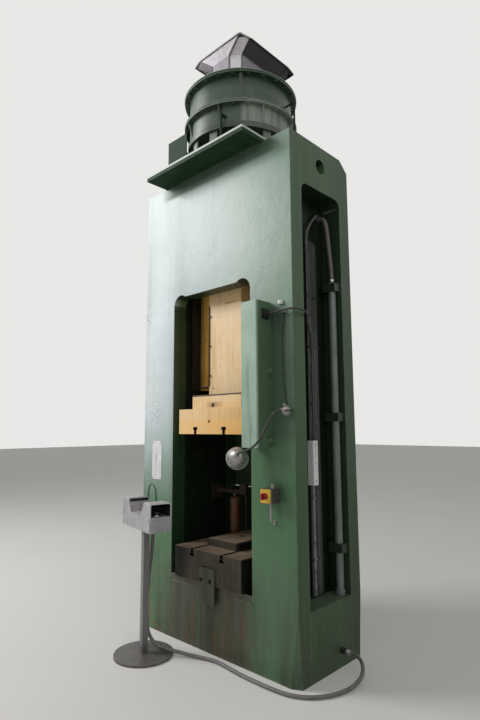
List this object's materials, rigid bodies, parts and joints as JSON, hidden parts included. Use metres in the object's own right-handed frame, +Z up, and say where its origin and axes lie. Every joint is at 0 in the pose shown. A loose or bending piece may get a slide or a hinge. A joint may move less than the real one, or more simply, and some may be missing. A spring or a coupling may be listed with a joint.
{
  "type": "screw press",
  "caption": "Closed-frame forging screw press with guided slide, T-slotted bolster, drum drive on the head and a two-hand control stand.",
  "frame": {"origin": "middle of the welded frame's underside, on the floor", "axes": "+X to the right seen from the operator's side, +Y to the back, +Z up"},
  "size_m": [1.8773, 1.489, 4.807],
  "materials": {
    "frame_green": "satin",
    "deck_green": "satin",
    "drum_grey": "satin",
    "hood_pale": "satin",
    "cover_green": "satin",
    "guard_green": "satin",
    "cream_steel": "satin",
    "slide_steel": "satin",
    "bolster_steel": "satin",
    "bright_steel": "satin",
    "black_iron": "rough",
    "grey_iron": "rough",
    "bronze": "satin",
    "screw_zinc": "satin",
    "cable_black": "matte",
    "cable_grey": "matte",
    "hose_grey": "matte",
    "hose_pink": "matte",
    "flap_rubber": "matte",
    "pipe_grey": "satin",
    "clamp_green": "satin",
    "plate_white": "satin",
    "duct_white": "matte",
    "lamp_metal": "satin",
    "bulb_glass": "frosted",
    "switch_black": "matte",
    "switch_yellow": "gloss",
    "switch_red": "gloss",
    "console_cream": "satin",
    "button_dark": "matte",
    "button_white": "gloss",
    "stand_grey": "satin",
    "cylinder_brown": "satin",
    "pipe_copper": "satin"
  },
  "bodies": {
    "press_body": {"frame_front": "frame_green", "frame_back": "frame_green", "frame_webs": "frame_green", "frame_head": "frame_green", "frame_base": "frame_green", "top_deck": "deck_green", "drum_lower_shell": "drum_grey", "drum_upper_shell": "drum_grey", "drum_cover": "deck_green", "drum_bolts": "screw_zinc", "motor_hood": "hood_pale", "stator_ring": "grey_iron", "screw_bearings": "bronze", "brake_caliper": "grey_iron", "guide_rails": "black_iron", "bolster": "bolster_steel", "bolster_bolts": "screw_zinc", "die_seat": "bolster_steel", "ejector_cylinder": "grey_iron", "ejector_cover": "frame_green", "scale_cover": "cover_green", "cable_socket": "cable_black", "signal_cable": "cable_grey", "lamp_cable": "cable_grey", "lamp_base": "lamp_metal", "lamp_neck": "lamp_metal", "lamp_head": "lamp_metal", "lamp_bulb": "bulb_glass", "switch_box": "switch_black", "switch_plate": "switch_yellow", "switch_conduit": "switch_black", "name_plate": "plate_white", "riser_pipe": "pipe_grey", "pipe_clamps": "clamp_green", "recess_hose": "hose_pink", "cable_bundle": "cable_grey", "duct_cover": "duct_white", "rear_guard": "guard_green", "rear_flap": "flap_rubber", "rear_bracket": "black_iron", "rear_cylinder": "cylinder_brown", "console_stand": "stand_grey", "console_body": "console_cream", "hose_fittings": "cable_black", "console_hose": "hose_grey", "console_loop": "cable_black", "drum_pipe": "deck_green"},
    "screw": {"screw_spindle": "bright_steel", "flywheel": "grey_iron", "brake_disc": "bright_steel"},
    "ram": {"slide": "slide_steel", "slide_plate": "cream_steel", "screw_nut": "bronze", "slide_bolts": "screw_zinc", "slide_oil_line": "pipe_copper"},
    "ejector": {"ejector_rod": "bright_steel"},
    "knob": {"switch_knob": "switch_red"},
    "palm_left": {"palm_button_left": "button_dark"},
    "palm_right": {"palm_button_right": "button_dark"},
    "starter": {"start_button": "button_white"}
  },
  "joints": [
    {"name": "screw_spin", "type": "hinge", "parent": "press_body", "child": "screw", "pos_m": [0, 0, 2.6], "axis": [0, 0, 1], "range_deg": [0, 720]},
    {"name": "slide_travel", "type": "slide", "parent": "press_body", "child": "ram", "axis": [0, 0, -1], "range_m": [0, 0.4]},
    {"name": "ejector_lift", "type": "slide", "parent": "press_body", "child": "ejector", "axis": [0, 0, 1], "range_m": [0, 0.08]},
    {"name": "switch_turn", "type": "hinge", "parent": "press_body", "child": "knob", "pos_m": [0.634, -0.48, 1.158], "axis": [0, 1, 0], "range_deg": [0, 90]},
    {"name": "palm_left_press", "type": "slide", "parent": "press_body", "child": "palm_left", "axis": [0, 0, -1], "range_m": [0, 0.006], "stiffness_N_per_m": 1500, "springref_m": -0.003},
    {"name": "palm_right_press", "type": "slide", "parent": "press_body", "child": "palm_right", "axis": [0, 0, -1], "range_m": [0, 0.006], "stiffness_N_per_m": 1500, "springref_m": -0.003},
    {"name": "start_press", "type": "slide", "parent": "press_body", "child": "starter", "axis": [0, 0, -1], "range_m": [0, 0.003], "stiffness_N_per_m": 1200, "springref_m": -0.003}
  ],
  "couplings": [
    {"joint": "slide_travel", "follows": "screw_spin", "m_per_rad": 0.03183}
  ]
}
